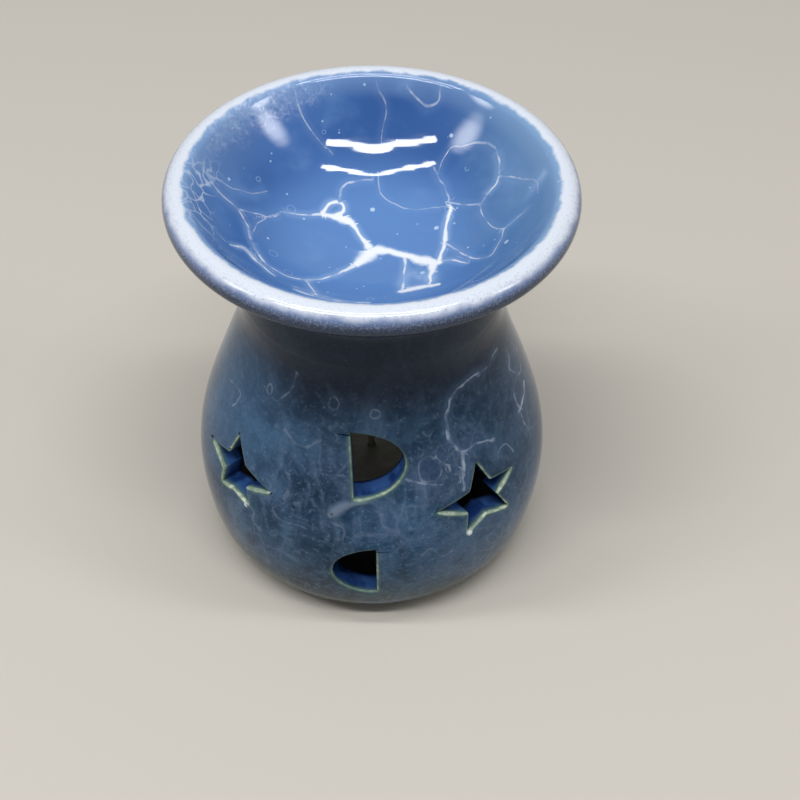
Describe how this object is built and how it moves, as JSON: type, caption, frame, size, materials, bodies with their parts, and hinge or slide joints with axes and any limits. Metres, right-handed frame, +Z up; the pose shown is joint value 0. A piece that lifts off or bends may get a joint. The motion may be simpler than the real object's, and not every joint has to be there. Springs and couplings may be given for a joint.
{
  "type": "essential oil burner",
  "caption": "Glazed ceramic oil burner: a shallow rolled-lip bowl fired onto a round pierced belly, with a rear arch through which a tealight slides in and out.",
  "frame": {"origin": "centre of the foot ring, on the surface that the burner stands on", "axes": "+Z up through the middle of the belly and bowl; -Y is the front with the half-moons, +Y is the candle arch"},
  "size_m": [0.084, 0.084, 0.0959],
  "materials": {
    "glazed_stoneware": "gloss",
    "bowl_glaze": "gloss",
    "pressed_aluminium": "satin",
    "candle_wax": "satin",
    "tinned_steel": "satin",
    "cotton_wick": "matte"
  },
  "bodies": {
    "burner": {"burner_body": "glazed_stoneware", "oil_bowl": "bowl_glaze"},
    "tealight": {"tealight_cup": "pressed_aluminium", "tealight_wax": "candle_wax", "wick_sustainer": "tinned_steel", "wick": "cotton_wick"}
  },
  "joints": [
    {"name": "tealight_slide", "type": "slide", "parent": "burner", "child": "tealight", "axis": [0, 1, 0], "range_m": [0, 0.07]}
  ]
}
